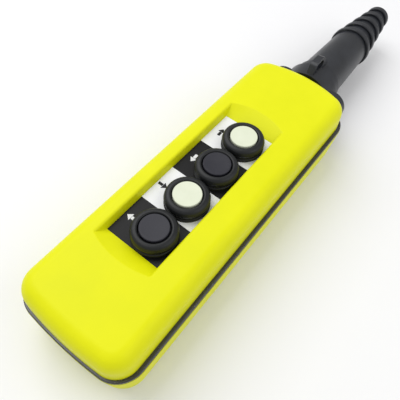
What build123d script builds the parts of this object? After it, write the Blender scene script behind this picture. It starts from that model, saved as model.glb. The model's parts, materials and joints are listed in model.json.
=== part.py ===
"""Hand-held pendant control station: four booted push buttons in a two-part case
with a stepped cable sleeve at the top end.

Frame: X across the case, Y along it towards the sleeve, Z up out of the button face.
The station lies on its flat back at Z = 0, and the origin is under the middle of its box.
Millimetres throughout.
"""
from build123d import *
from math import radians, tan
import os

os.makedirs("parts", exist_ok=True)

# ---- case ----
case_length = 259.0          # rear box, low end to top end, on the centre line
case_width = 87.0            # rear box at its rim
case_depth = 56.0            # flat back to button face
parting_height = 34.5        # flat back to the middle of the seal
corner_radius = 18.0         # plan corners of the rear box
low_end_bulge = 3.0          # how far the low end bows out past its corners
top_end_bulge = 9.0          # how far the top end bows out past its corners
case_wall = 2.8
front_draft = 3.0            # degrees that the cover's sides lean in
rear_draft = 4.0             # degrees that the box's sides lean in
front_edge_radius = 10.0
back_edge_radius = 8.0
cover_inset = 3.0            # cover's sides stand this far inside the box's rim
cover_end_reach = 1.3        # cover's ends stand this much nearer to the rim than its sides

# ---- seal between the two halves ----
seal_thickness = 1.8         # clamped band
seal_bead_height = 2.4       # rounded bead that shows outside, from the box's rim up
seal_bead_inset = 0.2        # bead inside the rear box's rim
seal_bead_width = 1.3
seal_bead_round = 0.6
seal_inner_inset = 6.0       # inner edge of the band, from the rear box's rim
box_rim_width = 6.6          # thickened rim that carries the seal
box_rim_height = 6.0
lip_width = 1.3              # upstanding lip that locates the cover
lip_rise = 2.0               # lip above the seal
lip_gap = 0.1

# ---- buttons ----
button_count = 4
button_pitch = 30.0
window_low_to_case = 62.7    # low edge of the legend window above the case's low end
window_left = 24.5           # legend window's left edge from the button line
window_right = 15.0          # legend window's right edge from the button line
legend_thickness = 0.8
legend_depth = 5.8           # button face down to the legend's top
legend_corner_gap = 0.1      # play between a legend and its window
recess_side_slope = 1.6      # how far the window's side walls lean out
recess_low_scoop = 8.0       # scoop past the low edge of the window, at its corners
recess_low_bow = 4.0         # extra scoop on the centre line
recess_top_scoop = 8.5
recess_top_bow = 5.5
recess_floor = 2.6           # thickness under the legends
recess_mouth_round = 2.0
button_travel = 4.0
cap_radius = 9.2
cap_rise = 10.0              # cap's top above the legend
cap_thickness = 3.8
cap_dish = 0.35              # hollow of the cap's top
boot_radius = 14.7
boot_rise = 9.4
boot_cap_gap = 0.6
boot_web_low = 2.6           # thin web round the stem, above the legend
boot_web_thickness = 1.0
boot_foot = 0.7              # lip of the boot clamped under the bush's flange
stem_radius = 6.0
stem_play = 0.05             # running clearance of the stem in its bush
loose_gap = 0.3              # other clearances between moving pieces
bush_radius = 10.9
bush_flange_radius = 12.6
bush_flange_thickness = 0.7
bush_length = 12.2           # below the legend's top
nut_across_flats = 25.0
nut_thickness = 4.0
stop_radius = 7.6            # collar that keeps the stem in the bush
stop_thickness = 2.0
socket_radius = 3.0          # cap's stub in the stem
socket_depth = 5.0

# ---- contact blocks and their rail ----
block_width = 36.0           # across the case
block_length = 24.0
block_height = 18.0
rail_width = 20.0
rail_thickness = 2.0
rail_end = 13.0              # rail past the outer blocks
rail_lift = 6.0              # back face up to the rail's underside
rail_post_radius = 5.0
clip_thickness = 1.8
clip_lip = 0.9
chamber_height = 11.0
chamber_width = 18.0
chamber_length = 9.0
block_base = 3.0
pusher_radius = 2.5
pusher_tip_radius = 1.8
pusher_tip_length = 2.2
bridge_length = 16.0
bridge_width = 5.0
bridge_thickness = 1.0
contact_thickness = 1.0
contact_width = 6.0
contact_lift = 1.0           # fixed contact above the chamber's floor
contact_inner = 5.0          # inner end of a fixed contact from the button line
contact_gap = 4.1            # open gap between the rivets
rivet_radius = 1.5
rivet_height = 0.3
terminal_offset = 14.2       # terminal screw from the button line
terminal_head_radius = 2.9
terminal_head_height = 2.0
terminal_pocket_gap = 0.4
terminal_shank_radius = 1.5
terminal_shank_length = 4.4
spring_radius = 4.6
spring_wire = 0.4
spring_turns = 4.5

# ---- screws ----
screw_rows_low = 20.0        # lowest row of cover screws above the low end
screw_rows_middle = 126.0    # middle row above the low end
screw_rows_top = 37.0        # top row below the top end
screw_offset = 27.0          # from the centre line
screw_shank_radius = 1.9
screw_head_radius = 3.6
screw_head_height = 2.6
screw_hole_play = 0.25
screw_well_radius = 4.3
screw_well_depth = 5.0
boss_radius = 5.5
insert_radius = 2.9
insert_length = 8.0
driver_slot_width = 1.0
driver_slot_depth = 1.1
rail_screw_length = 4.6
clamp_screw_length = 16.0

# ---- cable sleeve ----
sleeve_axis_height = 28.0
sleeve_reach = 148.1         # tip past the case's top end
sleeve_flange_width = 69.0
sleeve_flange_height = 27.0
sleeve_flange_corner = 13.0
sleeve_flange_end = 11.0     # flange's flat outer face past the case's top end
sleeve_flange_round = 2.5
sleeve_neck_radius = 17.0
sleeve_inner_flange_radius = 20.0
sleeve_inner_flange = 4.0
sleeve_tail_radius = 14.0
sleeve_tail_length = 12.0
collar_radius = 22.8
collar_end = 17.5            # past the case's top end
collar_round = 2.0
shoulder_radius = 20.2
shoulder_end = 26.0
shoulder_round = 0.8
tube_start_radius = 18.6
rib_count = 5
rib_pitch = 14.5
first_rib_end = 90.1         # past the case's top end
first_rib_radius = 18.4
rib_step = 1.9
rib_width = 5.0
rib_proud = 2.0              # rib over the tube behind it
rib_round = 1.2
cable_radius = 5.5           # bore at the tip, for the cable
cable_bore_length = 66.0
bore_cone_length = 12.0
inner_bore_radius = 9.5
eyelet_offset = 2.2          # eyelet's foot to the right of the sleeve's axis
eyelet_lean = 8.0            # degrees that the eyelet leans to the left
eyelet_thickness = 5.5
eyelet_start = 1.2           # past the case's top end
eyelet_length = 26.8
eyelet_rise = 29.8           # top of the eyelet from the sleeve's axis
eyelet_front_run = 7.0       # length of its slope on the case's side
eyelet_back_run = 7.0
eyelet_round = 5.0
eyelet_slot_place = 14.3     # slot's middle past the case's top end
eyelet_slot_length = 11.5
eyelet_slot_width = 5.4
eyelet_slot_rise = 25.3      # slot's middle from the sleeve's axis

# ---- cable clamp ----
clamp_from_top = 47.0        # below the case's top end
clamp_width = 38.0
clamp_length = 10.0
clamp_block_top = 26.0
clamp_saddle_height = 8.0
clamp_saddle_gap = 2.5
clamp_groove_radius = 6.0
clamp_screw_offset = 13.5

# ---- places that follow from the sizes ----
low_y = -(case_length + sleeve_reach) / 2
top_y = low_y + case_length
tip_y = top_y + sleeve_reach
window_low_y = low_y + window_low_to_case
window_top_y = window_low_y + button_count * button_pitch
legend_z = case_depth - legend_depth
floor_z = legend_z - legend_thickness
bush_foot_z = legend_z - bush_length
rail_top_z = rail_lift + rail_thickness
block_top_z = rail_top_z + block_height
chamber_low_z = rail_top_z + block_base
contact_top_z = chamber_low_z + contact_lift + contact_thickness
bridge_low_z = contact_top_z + contact_gap + 2 * rivet_height
seal_low_z = parting_height - seal_thickness / 2
seal_top_z = parting_height + seal_thickness / 2
clamp_y = top_y - clamp_from_top
clamp_top_z = clamp_block_top + clamp_saddle_gap + clamp_saddle_height
button_places = [window_top_y - button_pitch * (k + 0.5) for k in range(button_count)]
ribs = [(first_rib_end - rib_width / 2 + rib_pitch * k, first_rib_radius - rib_step * k)
        for k in range(rib_count)]   # (middle past the case's top end, crest radius)
screw_rows = [low_y + screw_rows_low, low_y + screw_rows_middle, top_y - screw_rows_top]
screw_places = [(side * screw_offset, row) for row in screw_rows for side in (-1, 1)]


def save(node, shape):
    shape.label = node
    export_step(shape, f"parts/{node}.step")


def outline(inset, reach=0.0):
    """Plan outline of the case on Z = 0, moved inwards by inset, its ends by reach less."""
    half = case_width / 2 - inset
    low, top = low_y + inset - reach, top_y - inset + reach
    low_side, top_side = low + low_end_bulge, top - top_end_bulge
    edges = [
        Line((-half, top_side), (-half, low_side)),
        ThreePointArc((-half, low_side), (0, low), (half, low_side)),
        Line((half, low_side), (half, top_side)),
        ThreePointArc((half, top_side), (0, top), (-half, top_side)),
    ]
    face = make_face(Wire(edges))
    return fillet(face.vertices(), max(corner_radius - inset, 2.0))


def tapered(inset, height, draft, edge_radius, upwards, reach=0.0):
    """Block of the case's outline whose far edge is rounded, from Z = 0 up or down."""
    lean = height * tan(radians(draft))
    block = loft([outline(inset, reach), Pos(0, 0, height) * outline(inset + lean, reach)], ruled=True)
    far = block.faces().sort_by(Axis.Z)[-1]
    block = fillet(far.edges(), edge_radius)
    return block if upwards else mirror(block, Plane.XY)


def band(outer_inset, inner_inset, low, high):
    """Ring that follows the case's outline between two insets and two heights."""
    ring = extrude(outline(outer_inset), high - low) - extrude(outline(inner_inset), high - low)
    return Pos(0, 0, low) * ring


def rod(radius, x, y, low, high):
    return Pos(x, y, low) * Cylinder(radius, high - low, align=(Align.CENTER, Align.CENTER, Align.MIN))


def slab(width, length, x, y, low, high):
    return Pos(x, y, low) * Box(width, length, high - low, align=(Align.CENTER, Align.CENTER, Align.MIN))


def slotted_screw(x, y, head_low, head_radius, head_height, shank_radius, shank_length, upwards):
    """Screw with a rounded slotted head; the shank runs down, or up when upwards is set."""
    head = fillet(rod(head_radius, 0, 0, 0, head_height).edges().sort_by(Axis.Z)[-1], head_height * 0.4)
    shank = rod(shank_radius, 0, 0, -shank_length, 0)
    slot = slab(head_radius * 3, driver_slot_width, 0, 0, head_height - driver_slot_depth, head_height + 1)
    screw = head + shank - slot
    if upwards:
        screw = Rot(180, 0, 0) * screw
    return Pos(x, y, head_low) * screw


# ---- case halves ----

def recess():
    """Pocket in the button face: legend window, leaning side walls, a scoop at each end."""
    left, right = -window_left, window_right
    lean = recess_side_slope
    window = slab(right - left, window_top_y - window_low_y, (left + right) / 2,
                  (window_top_y + window_low_y) / 2, floor_z, legend_z + 0.01)
    foot = make_face(Wire([
        Line((left, window_top_y), (left, window_low_y)),
        ThreePointArc((left, window_low_y), ((left + right) / 2, window_low_y - 0.02), (right, window_low_y)),
        Line((right, window_low_y), (right, window_top_y)),
        ThreePointArc((right, window_top_y), ((left + right) / 2, window_top_y + 0.02), (left, window_top_y)),
    ]))
    low_side, top_side = window_low_y - recess_low_scoop, window_top_y + recess_top_scoop
    mouth = make_face(Wire([
        Line((left - lean, top_side), (left - lean, low_side)),
        ThreePointArc((left - lean, low_side), ((left + right) / 2, low_side - recess_low_bow),
                      (right + lean, low_side)),
        Line((right + lean, low_side), (right + lean, top_side)),
        ThreePointArc((right + lean, top_side), ((left + right) / 2, top_side + recess_top_bow),
                      (left - lean, top_side)),
    ]))
    flare = loft([Pos(0, 0, legend_z) * foot, Pos(0, 0, case_depth) * mouth], ruled=True)
    above = Pos(0, 0, case_depth) * extrude(mouth, 3)
    return window + flare + above


def front_envelope():
    return Pos(0, 0, seal_top_z) * tapered(cover_inset, case_depth - seal_top_z, front_draft,
                                           front_edge_radius, True, cover_end_reach)


def rear_envelope():
    return Pos(0, 0, seal_low_z) * tapered(0, seal_low_z, rear_draft, back_edge_radius, False)


def front_cover():
    height = case_depth - seal_top_z
    envelope = front_envelope()
    cavity = tapered(cover_inset + case_wall, height - case_wall, front_draft,
                     front_edge_radius - case_wall, True, cover_end_reach)
    shell = envelope - Pos(0, 0, seal_top_z) * cavity
    wall = recess_floor
    tray = slab(window_left + window_right + 2 * (recess_side_slope + wall),
                window_top_y - window_low_y + recess_low_scoop + recess_low_bow
                + recess_top_scoop + recess_top_bow + 2 * wall,
                (window_right - window_left) / 2,
                (window_top_y + window_low_y + recess_top_scoop + recess_top_bow
                 - recess_low_scoop - recess_low_bow) / 2,
                floor_z - wall, case_depth)
    cover = shell + (tray & envelope)
    for x, y in screw_places:
        cover += rod(boss_radius, x, y, seal_low_z, case_depth - case_wall / 2)
    cover -= recess()
    mouth = cover.faces().sort_by(Axis.Z)[-1].inner_wires()[0]
    cover = fillet(mouth.edges(), recess_mouth_round)
    for x, y in screw_places:
        cover -= rod(insert_radius, x, y, seal_low_z - 1, seal_low_z + insert_length)
    for y in button_places:
        cover -= rod(bush_radius + screw_hole_play, 0, y, floor_z - wall - 1, floor_z + 1)
    return cover - sleeve_hole()


def sleeve_hole():
    """Round way through the end wall for the sleeve's neck."""
    hole = Cylinder(sleeve_neck_radius, 30)
    return Pos(0, top_y, sleeve_axis_height) * Rot(90, 0, 0) * hole


def rear_box():
    rim_z = seal_low_z
    envelope = rear_envelope()
    cavity = tapered(case_wall, rim_z - case_wall, rear_draft, back_edge_radius - case_wall, False)
    box = envelope - Pos(0, 0, rim_z) * cavity
    box += band(case_wall / 2, box_rim_width, rim_z - box_rim_height, rim_z) & envelope
    lip_inset = seal_inner_inset + lip_gap
    lip = band(lip_inset, lip_inset + lip_width, rim_z - box_rim_height, seal_top_z + lip_rise)
    box += lip - slab(sleeve_flange_width, case_wall * 20, 0, top_y, rim_z, case_depth)
    for x, y in screw_places:
        box += rod(boss_radius, x, y, case_wall / 2, rim_z)
    for y in rail_post_places():
        box += rod(rail_post_radius, 0, y, case_wall / 2, rail_lift)
        box -= rod(screw_shank_radius, 0, y, rail_lift - rail_screw_length + rail_thickness - 0.2, rail_lift + 1)
    box += slab(clamp_width, clamp_length, 0, clamp_y, case_wall / 2, clamp_block_top)
    box -= clamp_groove()
    for side in (-1, 1):
        box -= rod(screw_shank_radius, side * clamp_screw_offset, clamp_y,
                   clamp_top_z - clamp_screw_length, clamp_block_top + 1)
    for x, y in screw_places:
        box -= rod(screw_well_radius, x, y, -1, screw_well_depth)
        box -= rod(screw_shank_radius + screw_hole_play, x, y, -1, rim_z + 1)
    return box - sleeve_hole()


def seal_gasket():
    """Flat band clamped between the halves, with a rounded bead standing up outside the cover's rim."""
    outer = seal_bead_inset
    seal = extrude(outline(outer), seal_bead_height)
    seal = fillet(seal.faces().sort_by(Axis.Z)[-1].edges(), seal_bead_round)
    seal -= Pos(0, 0, seal_thickness) * extrude(outline(outer + seal_bead_width), seal_bead_height)
    seal -= extrude(outline(seal_inner_inset), case_depth, both=True)
    seal = Pos(0, 0, seal_low_z) * seal
    return seal - slab(2 * sleeve_neck_radius, case_width, 0, top_y, 0, case_depth)


def rail_post_places():
    return [button_places[0] + block_length / 2 + rail_end - rail_post_radius,
            button_places[-1] - block_length / 2 - rail_end + rail_post_radius]


def cover_screws():
    length = seal_low_z + insert_length - screw_well_depth
    return [slotted_screw(x, y, screw_well_depth, screw_head_radius, screw_head_height,
                          screw_shank_radius, length, True) for x, y in screw_places]


def cover_inserts():
    return [rod(insert_radius, x, y, seal_low_z, seal_low_z + insert_length)
            - rod(screw_shank_radius, x, y, seal_low_z - 1, seal_low_z + insert_length + 1)
            for x, y in screw_places]


# ---- buttons ----

def legend_plate(y):
    gap = legend_corner_gap
    plate = slab(window_left + window_right - 2 * gap, button_pitch - gap,
                 (window_right - window_left) / 2, y, floor_z, legend_z)
    return plate - rod(bush_radius + screw_hole_play, 0, y, floor_z - 1, legend_z + 1)


def button_cap(y):
    low = cap_rise - cap_thickness
    cap = rod(cap_radius, 0, 0, low, cap_rise)
    cap = fillet(cap.edges().sort_by(Axis.Z)[-1], 0.7)
    dish_radius = (cap_radius ** 2 + cap_dish ** 2) / (2 * cap_dish)
    cap -= Pos(0, 0, cap_rise - cap_dish + dish_radius) * Sphere(dish_radius)
    cap += rod(socket_radius, 0, 0, low - socket_depth + 0.5, low)
    return Pos(0, y, legend_z) * cap


def button_boot(y):
    inner = cap_radius + boot_cap_gap
    seat = bush_flange_radius + loose_gap
    top = boot_rise
    hole = bush_radius + loose_gap
    section = make_face(Wire([
        Line((hole, 0), (boot_radius, 0)),
        Line((boot_radius, 0), (boot_radius, 1.2)),
        ThreePointArc((boot_radius, 1.2), (boot_radius - 0.35, 1.75), (boot_radius - 0.9, 2.0)),
        ThreePointArc((boot_radius - 0.9, 2.0), (boot_radius - 1.1, 2.7), (boot_radius - 0.8, 3.5)),
        ThreePointArc((boot_radius - 0.8, 3.5), (boot_radius - 0.1, 5.4), (boot_radius - 0.5, 7.2)),
        ThreePointArc((boot_radius - 0.5, 7.2), (boot_radius - 1.5, top - 0.6), (boot_radius - 3.0, top)),
        ThreePointArc((boot_radius - 3.0, top), (inner + 0.4, top - 0.25), (inner, top - 0.9)),
        Line((inner, top - 0.9), (inner, boot_web_low + boot_web_thickness)),
        Line((inner, boot_web_low + boot_web_thickness),
             (stem_radius + loose_gap, boot_web_low + boot_web_thickness)),
        Line((stem_radius + loose_gap, boot_web_low + boot_web_thickness),
             (stem_radius + loose_gap, boot_web_low)),
        Line((stem_radius + loose_gap, boot_web_low), (seat - 0.9, boot_web_low)),
        Line((seat - 0.9, boot_web_low), (seat, boot_web_low - 0.9)),
        Line((seat, boot_web_low - 0.9), (seat, boot_foot)),
        Line((seat, boot_foot), (hole, boot_foot)),
        Line((hole, boot_foot), (hole, 0)),
    ]))
    return Pos(0, y, legend_z) * revolve(Plane.XZ * section, Axis.Z)


def operator_bush(y):
    flange_z = legend_z + boot_foot
    bush = rod(bush_flange_radius, 0, y, flange_z, flange_z + bush_flange_thickness)
    bush += rod(bush_radius, 0, y, bush_foot_z, flange_z)
    return bush - rod(stem_radius + stem_play, 0, y, bush_foot_z - 1, flange_z + 2)


def bush_nut(y):
    top = floor_z - recess_floor
    nut = extrude(RegularPolygon(nut_across_flats / 2, 6, major_radius=False), nut_thickness)
    nut = Pos(0, y, top - nut_thickness) * nut
    return nut - rod(bush_radius, 0, y, top - nut_thickness - 1, top + 1)


def plunger(y):
    cap_foot = legend_z + cap_rise - cap_thickness
    stop_top = bush_foot_z
    stem = rod(stem_radius, 0, y, stop_top, cap_foot)
    stem += rod(stop_radius, 0, y, stop_top - stop_thickness, stop_top)
    shoulder = bridge_low_z + bridge_thickness
    stem += rod(pusher_radius, 0, y, shoulder, stop_top - stop_thickness)
    stem += rod(pusher_tip_radius, 0, y, shoulder - pusher_tip_length, shoulder)
    return stem - rod(socket_radius, 0, y, cap_foot - socket_depth, cap_foot + 1)


def return_spring(y):
    foot = block_top_z + spring_wire
    head = bush_foot_z - stop_thickness - spring_wire
    helix = Helix(pitch=(head - foot) / spring_turns, height=head - foot, radius=spring_radius)
    section = (helix ^ 0) * Circle(spring_wire)
    return Pos(0, y, foot) * sweep(section, path=helix)


# ---- contacts ----

def contact_block(y):
    low, top = rail_top_z, block_top_z
    block = slab(block_width, block_length, 0, y, low, top)
    block = fillet(block.edges().filter_by(Axis.Z), 1.0)
    block -= slab(chamber_width, chamber_length, 0, y, chamber_low_z, chamber_low_z + chamber_height)
    block -= rod(pusher_radius + loose_gap, 0, y, chamber_low_z, top + 1)
    for side in (-1, 1):
        outer = block_width / 2
        pocket_inner = terminal_offset - terminal_head_radius - terminal_pocket_gap
        block -= slab(outer - pocket_inner + 1, contact_width + 1.5, side * (outer + pocket_inner + 1) / 2, y,
                      contact_top_z - contact_thickness, top + 1)
        block -= slab(pocket_inner - contact_inner, contact_width, side * (pocket_inner + contact_inner) / 2, y,
                      contact_top_z - contact_thickness, contact_top_z)
        block -= rod(terminal_shank_radius, side * terminal_offset, y,
                     contact_top_z - terminal_shank_length, contact_top_z)
        clip = slab(clip_thickness, block_length / 2, side * (rail_width + clip_thickness) / 2, y,
                    rail_lift - 1.4, low)
        lip = slab(clip_lip, block_length / 2, side * (rail_width - clip_lip) / 2, y,
                   rail_lift - 1.4, rail_lift)
        block += clip + lip
    return block


def fixed_contacts():
    pieces = []
    for y in button_places:
        for side in (-1, 1):
            inner, outer = contact_inner, block_width / 2 - 0.4
            strip = slab(outer - inner, contact_width, side * (inner + outer) / 2, y,
                         contact_top_z - contact_thickness, contact_top_z)
            strip += rod(rivet_radius, side * (inner + rivet_radius), y, contact_top_z,
                         contact_top_z + rivet_height)
            strip -= rod(terminal_shank_radius, side * terminal_offset, y, 0, case_depth)
            pieces.append(strip)
    return pieces


def terminal_screws():
    return [slotted_screw(side * terminal_offset, y, contact_top_z, terminal_head_radius,
                          terminal_head_height, terminal_shank_radius, terminal_shank_length, False)
            for y in button_places for side in (-1, 1)]


def contact_bridge(y):
    bar = slab(bridge_length, bridge_width, 0, y, bridge_low_z, bridge_low_z + bridge_thickness)
    for side in (-1, 1):
        bar += rod(rivet_radius, side * (contact_inner + rivet_radius), y,
                   bridge_low_z - rivet_height, bridge_low_z)
    return bar - rod(pusher_tip_radius, 0, y, bridge_low_z - 1, bridge_low_z + 2)


def contact_rail():
    low_end = button_places[-1] - block_length / 2 - rail_end
    top_end = button_places[0] + block_length / 2 + rail_end
    rail = slab(rail_width, top_end - low_end, 0, (top_end + low_end) / 2, rail_lift, rail_top_z)
    for y in rail_post_places():
        rail -= rod(screw_shank_radius + screw_hole_play, 0, y, 0, case_depth)
    return rail


def rail_screws():
    return [slotted_screw(0, y, rail_top_z, screw_head_radius, screw_head_height,
                          screw_shank_radius, rail_screw_length, False) for y in rail_post_places()]


# ---- cable entry ----

def clamp_groove():
    """Round channel through the clamp for the cable."""
    return (Pos(0, clamp_y, sleeve_axis_height) * Rot(90, 0, 0)
            * Cylinder(clamp_groove_radius, clamp_length * 2))


def cable_clamp():
    saddle = slab(clamp_width, clamp_length, 0, clamp_y, clamp_top_z - clamp_saddle_height, clamp_top_z)
    saddle = fillet(saddle.edges().filter_by(Axis.Z), 2.0) - clamp_groove()
    for side in (-1, 1):
        saddle -= rod(screw_shank_radius + screw_hole_play, side * clamp_screw_offset, clamp_y, 0, case_depth)
    return saddle


def clamp_screws():
    return [slotted_screw(side * clamp_screw_offset, clamp_y, clamp_top_z, screw_head_radius,
                          screw_head_height, screw_shank_radius, clamp_screw_length, False)
            for side in (-1, 1)]


def sleeve_profile():
    """Half section of the sleeve as (radius, distance past the case's top end) points."""
    lip_inner = seal_inner_inset + lip_gap + lip_width
    wall_bow = top_end_bulge * (sleeve_inner_flange_radius / (case_width / 2 - lip_inner)) ** 2
    grip = -(lip_inner + wall_bow + loose_gap)
    tail = grip - sleeve_inner_flange
    points = [
        (sleeve_tail_radius, tail - sleeve_tail_length),
        (sleeve_tail_radius, tail),
        (sleeve_inner_flange_radius, tail),
        (sleeve_inner_flange_radius, grip),
        (sleeve_neck_radius, grip),
        (sleeve_neck_radius, 1.0),
        (collar_radius, 1.0),
        (collar_radius, collar_end - collar_round),
        (collar_radius - collar_round, collar_end),
        (shoulder_radius, collar_end),
        (shoulder_radius, shoulder_end - shoulder_round),
        (shoulder_radius - shoulder_round, shoulder_end),
        (tube_start_radius, shoulder_end),
    ]
    for middle, crest in ribs[:-1]:
        waist = crest - rib_proud
        points += [(waist, middle), (waist - rib_step, middle)]
    points.append((ribs[-1][1] - rib_proud, sleeve_reach))
    bore_start = sleeve_reach - cable_bore_length
    points += [(cable_radius, sleeve_reach), (cable_radius, bore_start),
               (inner_bore_radius, bore_start - bore_cone_length),
               (inner_bore_radius, tail - sleeve_tail_length)]
    return points


def sleeve_eyelet():
    """Sloped lug with a slot, standing off the collar along the sleeve's axis."""
    end = eyelet_start + eyelet_length
    crest = [(eyelet_start + eyelet_front_run, eyelet_rise), (end - eyelet_back_run, eyelet_rise)]
    profile = make_face(Polyline((eyelet_start, 0), (eyelet_start, shoulder_radius), *crest,
                                 (end, shoulder_radius), (end, 0), close=True))
    profile = fillet(profile.vertices().sort_by(Axis.Y)[-2:], eyelet_round)
    profile -= Pos(eyelet_slot_place, eyelet_slot_rise) * SlotOverall(eyelet_slot_length, eyelet_slot_width)
    lug = extrude(Plane.YZ * profile, eyelet_thickness / 2, both=True)
    lug = Pos(eyelet_offset, 0, 0) * Rot(0, -eyelet_lean, 0) * lug
    lug -= cable_way(shoulder_radius - 1.0, case_width)
    return Pos(0, top_y, sleeve_axis_height) * lug


def cable_way(radius, length):
    return Rot(90, 0, 0) * Cylinder(radius, length)


def cable_sleeve():
    """Rubber sleeve: inner and outer flanges grip the end wall, and ribs step down to the tip."""
    section = make_face(Polyline(*sleeve_profile(), close=True))
    rib_depth = min(rib_proud + rib_step + rib_round, ribs[-1][1] - cable_radius)
    for middle, crest in ribs:
        section += Pos(crest - rib_depth / 2, middle) * RectangleRounded(rib_depth, rib_width, rib_round)
    sleeve = revolve(section, Axis.Y)
    sleeve = Pos(0, top_y, sleeve_axis_height) * sleeve
    flange = extrude(RectangleRounded(sleeve_flange_width, sleeve_flange_height, sleeve_flange_corner),
                     case_width / 2, both=True)
    flange = Rot(90, 0, 0) * flange
    flange = Pos(0, top_y + sleeve_flange_end - case_width / 2, sleeve_axis_height) * flange
    flange = fillet(flange.faces().sort_by(Axis.Y)[-1].edges(), sleeve_flange_round)
    flange = (flange - case_envelope()).solids().sort_by(Axis.Y)[-1]
    return sleeve + flange + sleeve_eyelet()


def case_envelope():
    bead = Pos(0, 0, seal_low_z) * extrude(outline(0), seal_bead_height)
    return front_envelope() + rear_envelope() + bead


# ---- write every piece ----

save("front_cover", front_cover())
save("rear_box", rear_box())
save("seal_gasket", seal_gasket())
save("cable_sleeve", cable_sleeve())
save("cable_clamp", cable_clamp())
save("contact_rail", contact_rail())
for node, pieces in (("clamp_screws", clamp_screws()), ("cover_screws", cover_screws()),
                     ("cover_inserts", cover_inserts()), ("rail_screws", rail_screws()),
                     ("fixed_contacts", fixed_contacts()), ("terminal_screws", terminal_screws())):
    save(node, Compound(children=pieces))
for number, place in enumerate(button_places, start=1):
    save(f"legend_plate_{number}", legend_plate(place))
    save(f"button_cap_{number}", button_cap(place))
    save(f"button_boot_{number}", button_boot(place))
    save(f"operator_bush_{number}", operator_bush(place))
    save(f"bush_nut_{number}", bush_nut(place))
    save(f"plunger_{number}", plunger(place))
    save(f"return_spring_{number}", return_spring(place))
    save(f"contact_block_{number}", contact_block(place))
    save(f"contact_bridge_{number}", contact_bridge(place))
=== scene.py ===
"""Looks of a hand-held pendant control station: a yellow two-part case, four booted buttons
in a recessed window, and a stepped black cable sleeve. Metres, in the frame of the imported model."""
import json
from math import radians

import bpy
from mathutils import Matrix, Vector

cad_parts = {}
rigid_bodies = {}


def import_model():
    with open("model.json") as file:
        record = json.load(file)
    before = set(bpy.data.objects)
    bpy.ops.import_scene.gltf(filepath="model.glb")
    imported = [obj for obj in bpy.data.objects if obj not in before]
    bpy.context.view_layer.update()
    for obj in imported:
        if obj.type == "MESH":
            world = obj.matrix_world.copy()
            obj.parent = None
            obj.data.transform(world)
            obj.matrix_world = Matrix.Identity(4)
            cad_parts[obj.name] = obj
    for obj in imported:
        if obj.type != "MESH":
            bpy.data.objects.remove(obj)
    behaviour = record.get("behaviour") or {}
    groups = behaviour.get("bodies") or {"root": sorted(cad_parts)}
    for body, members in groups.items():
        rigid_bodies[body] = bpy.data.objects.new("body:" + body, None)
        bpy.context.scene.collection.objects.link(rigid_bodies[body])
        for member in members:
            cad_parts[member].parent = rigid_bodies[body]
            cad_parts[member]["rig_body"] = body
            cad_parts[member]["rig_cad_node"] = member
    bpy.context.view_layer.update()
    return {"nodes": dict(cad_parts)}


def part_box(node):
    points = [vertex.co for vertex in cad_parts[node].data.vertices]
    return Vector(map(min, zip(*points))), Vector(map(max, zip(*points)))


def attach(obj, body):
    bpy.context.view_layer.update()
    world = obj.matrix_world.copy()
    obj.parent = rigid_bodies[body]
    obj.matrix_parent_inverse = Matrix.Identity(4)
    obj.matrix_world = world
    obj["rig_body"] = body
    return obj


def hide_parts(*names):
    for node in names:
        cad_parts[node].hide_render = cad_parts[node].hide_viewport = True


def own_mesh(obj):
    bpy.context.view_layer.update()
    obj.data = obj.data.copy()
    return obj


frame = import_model()
nodes = frame["nodes"]
button_numbers = (1, 2, 3, 4)

# ---------------------------------------------------------------- front cover
# Moulded lemon-yellow thermoplastic with a satin sheen and the fine spark-eroded grain of the
# mould. Screws from the back pull it down on the seal.
SMOOTH_ANGLE = radians(32)
MERGE_GAP = 2e-6
DRIFT_LOW, DRIFT_HIGH = 0.3, 0.7    # part of the noise that colour and roughness spread over
DRIFT_DETAIL = 6.0
DRIFT_ROUGHNESS = 0.6
GRAIN_DETAIL = 3.0
GRAIN_HEIGHT = 0.0002


def deselect():
    if bpy.context.object and bpy.context.object.mode != "OBJECT":
        bpy.ops.object.mode_set(mode="OBJECT")
    bpy.ops.object.select_all(action="DESELECT")


def choose(piece):
    deselect()
    piece.select_set(True)
    bpy.context.view_layer.objects.active = piece


def smoothed(node, name):
    """A welded, smoothly shaded copy of a CAD node."""
    piece = nodes[node].copy()
    piece.data = nodes[node].data.copy()
    piece.name = name
    piece.data.name = name
    piece.parent = None
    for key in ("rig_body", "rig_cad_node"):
        if key in piece:
            del piece[key]
    bpy.context.scene.collection.objects.link(piece)
    choose(piece)
    bpy.ops.object.mode_set(mode="EDIT")
    bpy.ops.mesh.select_all(action="SELECT")
    bpy.ops.mesh.remove_doubles(threshold=MERGE_GAP)
    bpy.ops.mesh.select_all(action="DESELECT")
    bpy.ops.object.mode_set(mode="OBJECT")
    even_shading(piece)
    return piece


def even_shading(piece, angle=SMOOTH_ANGLE):
    """Smooth shading that keeps flat faces flat beside their rounded edges."""
    choose(piece)
    if "custom_normal" in piece.data.attributes:
        bpy.ops.mesh.customdata_custom_splitnormals_clear()
    bpy.ops.object.shade_smooth_by_angle(angle=angle)
    weight = piece.modifiers.new("weight", "WEIGHTED_NORMAL")
    weight.keep_sharp = True
    bpy.ops.object.modifier_apply(modifier=weight.name)


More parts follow.
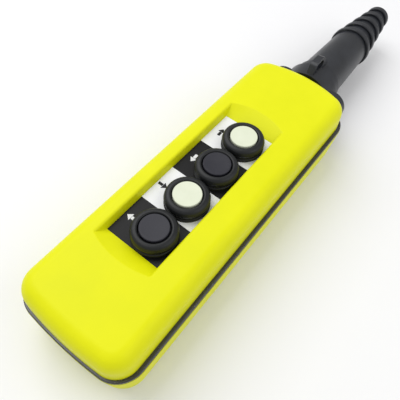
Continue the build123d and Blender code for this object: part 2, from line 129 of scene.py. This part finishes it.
def surface(name, dark, light, rough, grain, bump, patch=30.0, specular=0.5):
    """Moulded surface: colour and roughness drift over patches, and a fine grain stands in relief."""
    material = bpy.data.materials.new(name)
    material.use_nodes = True
    tree = material.node_tree
    shader = tree.nodes["Principled BSDF"]
    shader.inputs["Specular IOR Level"].default_value = specular
    place = tree.nodes.new("ShaderNodeTexCoord")
    drift = tree.nodes.new("ShaderNodeTexNoise")
    drift.inputs["Scale"].default_value = patch
    drift.inputs["Detail"].default_value = DRIFT_DETAIL
    drift.inputs["Roughness"].default_value = DRIFT_ROUGHNESS
    tint = tree.nodes.new("ShaderNodeValToRGB")
    first, last = tint.color_ramp.elements
    first.position, last.position = DRIFT_LOW, DRIFT_HIGH
    first.color = (*dark, 1)
    last.color = (*light, 1)
    polish = tree.nodes.new("ShaderNodeMapRange")
    polish.inputs["From Min"].default_value = DRIFT_LOW
    polish.inputs["From Max"].default_value = DRIFT_HIGH
    polish.inputs["To Min"].default_value, polish.inputs["To Max"].default_value = rough
    speck = tree.nodes.new("ShaderNodeTexNoise")
    speck.inputs["Scale"].default_value = grain
    speck.inputs["Detail"].default_value = GRAIN_DETAIL
    relief = tree.nodes.new("ShaderNodeBump")
    relief.inputs["Strength"].default_value = bump
    relief.inputs["Distance"].default_value = GRAIN_HEIGHT
    tree.links.new(place.outputs["Object"], drift.inputs["Vector"])
    tree.links.new(place.outputs["Object"], speck.inputs["Vector"])
    tree.links.new(drift.outputs["Fac"], tint.inputs["Fac"])
    tree.links.new(drift.outputs["Fac"], polish.inputs["Value"])
    tree.links.new(speck.outputs["Fac"], relief.inputs["Height"])
    tree.links.new(tint.outputs["Color"], shader.inputs["Base Color"])
    tree.links.new(polish.outputs["Result"], shader.inputs["Roughness"])
    tree.links.new(relief.outputs["Normal"], shader.inputs["Normal"])
    return material


def finish_in(piece, material):
    piece.data.materials.clear()
    piece.data.materials.append(material)


yellow_case = surface("yellow_case", (0.73, 0.75, 0.002), (0.78, 0.79, 0.004), (0.42, 0.50),
                      1500, 0.10, specular=0.18)
front_cover = smoothed("front_cover", "front_cover_shell")
finish_in(front_cover, yellow_case)
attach(front_cover, "housing")
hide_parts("front_cover")

# ---------------------------------------------------------------- rear box
# The deep half of the case, moulded in the same yellow. It carries the rail and the clamp inside.
rear_box = smoothed("rear_box", "rear_box_shell")
finish_in(rear_box, yellow_case)
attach(rear_box, "housing")
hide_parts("rear_box")

# ---------------------------------------------------------------- seal
# Black rubber band between the halves; its outer bead stands in the groove round the cover.
seal_rubber = surface("seal_rubber", (0.005, 0.005, 0.005), (0.012, 0.012, 0.010), (0.22, 0.32),
                      900, 0.15, patch=60, specular=0.9)
seal = smoothed("seal_gasket", "seal_band")
finish_in(seal, seal_rubber)
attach(seal, "housing")
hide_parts("seal_gasket")

# ---------------------------------------------------------------- legend plates
# Laminated plastic squares laid in the window under the bushes, white and black in turn,
# each engraved with the arrow of its button's motion.
white_legend = surface("white_legend", (0.84, 0.85, 0.86), (0.89, 0.90, 0.91), (0.30, 0.40),
                       2500, 0.05, specular=0.3)
black_legend = surface("black_legend", (0.003, 0.003, 0.0035), (0.006, 0.006, 0.007),
                       (0.32, 0.42), 2500, 0.05, specular=0.18)
ARROW_TURNS = {1: 0.0, 2: 180.0, 3: -90.0, 4: 90.0}
ARROW_LENGTH = 0.0068
ARROW_HEAD_WIDTH = 0.0052
ARROW_HEAD_LENGTH = 0.0033
ARROW_SHAFT = 0.0021
ARROW_THICKNESS = 0.00006
ARROW_FROM_EDGE = {1: 0.0062, 2: 0.0060, 3: 0.0044, 4: 0.0056}

for number in button_numbers:
    white = number in (1, 3)
    plate = nodes[f"legend_plate_{number}"]
    finish_in(plate, white_legend if white else black_legend)
    low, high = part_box(f"legend_plate_{number}")
    deselect()
    bpy.ops.mesh.primitive_cylinder_add(vertices=3, radius=ARROW_HEAD_WIDTH / 3 ** 0.5,
                                        depth=2 * ARROW_THICKNESS)
    arrow = bpy.context.object
    arrow.name = f"legend_arrow_{number}"
    bpy.ops.object.mode_set(mode="EDIT")
    bpy.ops.mesh.select_all(action="SELECT")
    squeeze = ARROW_HEAD_LENGTH / (ARROW_HEAD_WIDTH * 3 ** 0.5 / 2)
    bpy.ops.transform.resize(value=(1, squeeze, 1))
    head_low = ARROW_LENGTH / 2 - ARROW_HEAD_LENGTH
    bpy.ops.transform.translate(value=(0, head_low + ARROW_HEAD_LENGTH / 3, 0))
    bpy.ops.mesh.select_all(action="DESELECT")
    bpy.ops.mesh.primitive_cube_add(size=1, location=(0, (head_low - ARROW_LENGTH / 2) / 2, 0),
                                    scale=(ARROW_SHAFT, head_low + ARROW_LENGTH / 2,
                                           2 * ARROW_THICKNESS))
    bpy.ops.object.mode_set(mode="OBJECT")
    place = Vector((low.x + ARROW_FROM_EDGE[number], (low.y + high.y) / 2, high.z))
    spin = Matrix.Rotation(radians(ARROW_TURNS[number]), 4, "Z")
    arrow.data.transform(Matrix.Translation(place) @ spin)
    finish_in(arrow, black_legend if white else white_legend)
    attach(arrow, "housing")

# ---------------------------------------------------------------- boots
# Soft black rubber boots round the heads, fixed to the housing.
boot_rubber = surface("boot_rubber", (0.007, 0.008, 0.009), (0.014, 0.015, 0.016), (0.36, 0.46),
                      1800, 0.12, patch=90, specular=0.3)
for number in button_numbers:
    node = f"button_boot_{number}"
    low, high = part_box(node)
    boot = smoothed(node, f"boot_{number}")
    finish_in(boot, boot_rubber)
    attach(boot, "housing")
    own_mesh(boot)
    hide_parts(node)

# ---------------------------------------------------------------- caps
# Pressed-in plastic discs, white and black in turn, faintly dished for the thumb.
# The white caps' yellow-green tint is painted bounce light from the yellow case, laid over their
# white.
white_cap = surface("white_cap", (0.68, 0.72, 0.56), (0.74, 0.78, 0.62), (0.30, 0.38),
                    2000, 0.05, patch=80, specular=0.3)
black_cap = surface("black_cap", (0.018, 0.018, 0.025), (0.027, 0.027, 0.036), (0.34, 0.42),
                    2000, 0.06, patch=80, specular=0.25)
for number in button_numbers:
    white = number in (1, 3)
    cap = smoothed(f"button_cap_{number}", f"cap_{number}")
    finish_in(cap, white_cap if white else black_cap)
    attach(cap, f"button_{number}")
    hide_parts(f"button_cap_{number}")

# ---------------------------------------------------------------- cable sleeve
# One moulding in blue-black rubber: flange, collar with its eyelet, tapering tube and stepped ribs.
sleeve_rubber = surface("sleeve_rubber", (0.009, 0.010, 0.013), (0.020, 0.022, 0.028),
                        (0.30, 0.42), 1200, 0.20, patch=70, specular=0.4)
sleeve = smoothed("cable_sleeve", "cable_sleeve_rubber")
finish_in(sleeve, sleeve_rubber)
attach(sleeve, "housing")
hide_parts("cable_sleeve")

# ---------------------------------------------------------------- inner parts and fasteners
# Plain working parts that only show when the station is opened or turned over.
zinc_steel = surface("zinc_steel", (0.52, 0.52, 0.50), (0.64, 0.64, 0.61), (0.28, 0.45), 2500, 0.1)
grey_plastic = surface("grey_plastic", (0.28, 0.29, 0.30), (0.34, 0.35, 0.36), (0.40, 0.50),
                       1500, 0.1)
black_plastic = surface("black_plastic", (0.016, 0.016, 0.018), (0.026, 0.026, 0.029),
                        (0.35, 0.48), 1500, 0.1)
turned_brass = surface("turned_brass", (0.62, 0.42, 0.14), (0.74, 0.55, 0.24), (0.22, 0.36),
                       2500, 0.1)
for metal in (zinc_steel, turned_brass):
    metal.node_tree.nodes["Principled BSDF"].inputs["Metallic"].default_value = 1.0
inner_finish = {"cable_clamp": black_plastic, "clamp_screws": zinc_steel, "cover_screws": zinc_steel,
                "cover_inserts": turned_brass, "contact_rail": zinc_steel, "rail_screws": zinc_steel,
                "fixed_contacts": turned_brass, "terminal_screws": zinc_steel}
for number in button_numbers:
    inner_finish[f"operator_bush_{number}"] = black_plastic
    inner_finish[f"bush_nut_{number}"] = black_plastic
    inner_finish[f"plunger_{number}"] = grey_plastic
    inner_finish[f"return_spring_{number}"] = zinc_steel
    inner_finish[f"contact_block_{number}"] = grey_plastic
    inner_finish[f"contact_bridge_{number}"] = turned_brass
for node, material in inner_finish.items():
    finish_in(nodes[node], material)

# ---------------------------------------------------------------- floor, light and camera
# A pale seamless table, one broad soft light high on the left, a weaker fill on the right, and
# the camera, which keeps its distance from the case's low end.
FLOOR_SIZE = 6.0
FLOOR_DROP = 0.0002
SKY_STRENGTH = 0.62
LENS = 37.3                         # millimetres, on a sensor 36 mm wide
SENSOR_WIDTH = 36.0
CAMERA_RIGHT = (0.7845, 0.6180, 0.0506)
CAMERA_LOOK = (-0.2955, 0.4443, -0.8457)
CAMERA_X, CAMERA_Z = 0.08213, 0.27026
CAMERA_PAST_LOW_END = 0.00145

deselect()
bpy.ops.mesh.primitive_plane_add(size=FLOOR_SIZE, location=(0, 0, -FLOOR_DROP))
floor = bpy.context.object
floor.name = "floor"
finish_in(floor, surface("pale_table", (0.86, 0.86, 0.87), (0.88, 0.88, 0.89), (0.5, 0.6),
                         200, 0.02, patch=4))


def lamp(name, place, aim, size, power):
    light = bpy.data.lights.new(name, "AREA")
    light.shape = "RECTANGLE"
    light.size, light.size_y = size
    light.energy = power
    holder = bpy.data.objects.new(name, light)
    holder.location = place
    holder.rotation_euler = (Vector(aim) - Vector(place)).to_track_quat("-Z", "Y").to_euler()
    bpy.context.scene.collection.objects.link(holder)


lamp("broad_light", (-0.75, 0.05, 1.2), (0, 0, 0), (1.2, 1.2), 12)
lamp("fill_light", (0.8, 0.2, 0.8), (0, 0.05, 0), (0.8, 0.8), 2.5)
world = bpy.data.worlds.new("studio")
world.use_nodes = True
world.node_tree.nodes["Background"].inputs["Color"].default_value = (1, 1, 1, 1)
world.node_tree.nodes["Background"].inputs["Strength"].default_value = SKY_STRENGTH
bpy.context.scene.world = world
bpy.context.scene.view_settings.view_transform = "Standard"

camera_data = bpy.data.cameras.new("camera")
camera_data.lens = LENS
camera_data.sensor_width = SENSOR_WIDTH
camera_data.clip_start = 0.01
camera = bpy.data.objects.new("camera", camera_data)
camera_right = Vector(CAMERA_RIGHT).normalized()
camera_look = Vector(CAMERA_LOOK).normalized()
camera_up = camera_right.cross(camera_look).normalized()
turn = Matrix((camera_right, camera_up, -camera_look)).transposed().to_4x4()
camera_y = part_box("rear_box")[0].y - CAMERA_PAST_LOW_END
camera.matrix_world = Matrix.Translation((CAMERA_X, camera_y, CAMERA_Z)) @ turn
bpy.context.scene.collection.objects.link(camera)
bpy.context.scene.camera = camera
